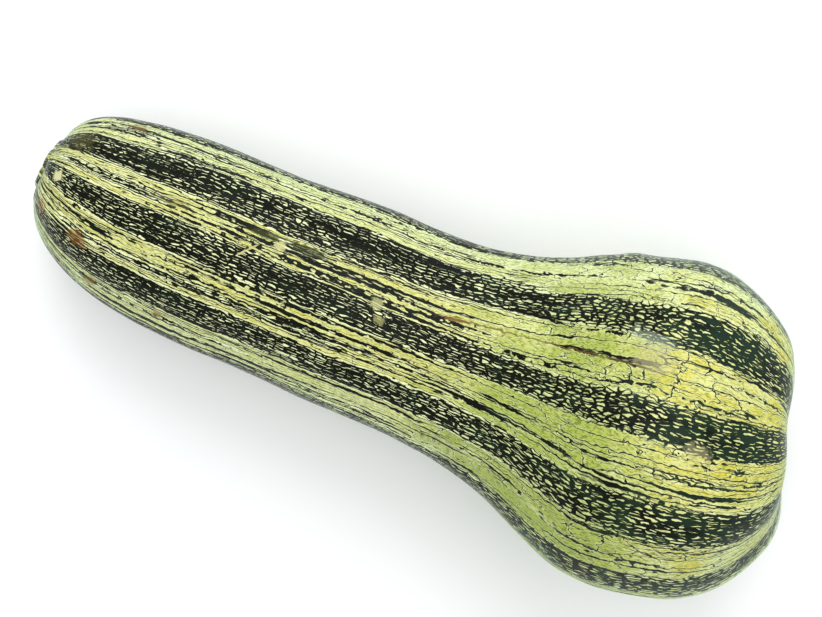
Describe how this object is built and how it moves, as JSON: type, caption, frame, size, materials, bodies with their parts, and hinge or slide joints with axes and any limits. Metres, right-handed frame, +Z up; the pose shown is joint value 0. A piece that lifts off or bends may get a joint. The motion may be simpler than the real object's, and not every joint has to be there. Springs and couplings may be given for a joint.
{
  "type": "calabaza squash",
  "caption": "Whole long-necked calabaza squash lying on its side, with a swollen round bulb and striped green and yellow rind, for kitchen, market and harvest scenes.",
  "frame": {"origin": "on the ground plane, below the middle of the lying fruit's box", "axes": "+X along the fruit's length towards the blossom end, +Z up, with the stem scar at -X"},
  "size_m": [0.4028, 0.1664, 0.1625],
  "materials": {
    "rind": "satin"
  },
  "bodies": {
    "root": {"fruit": "rind"}
  },
  "joints": []
}
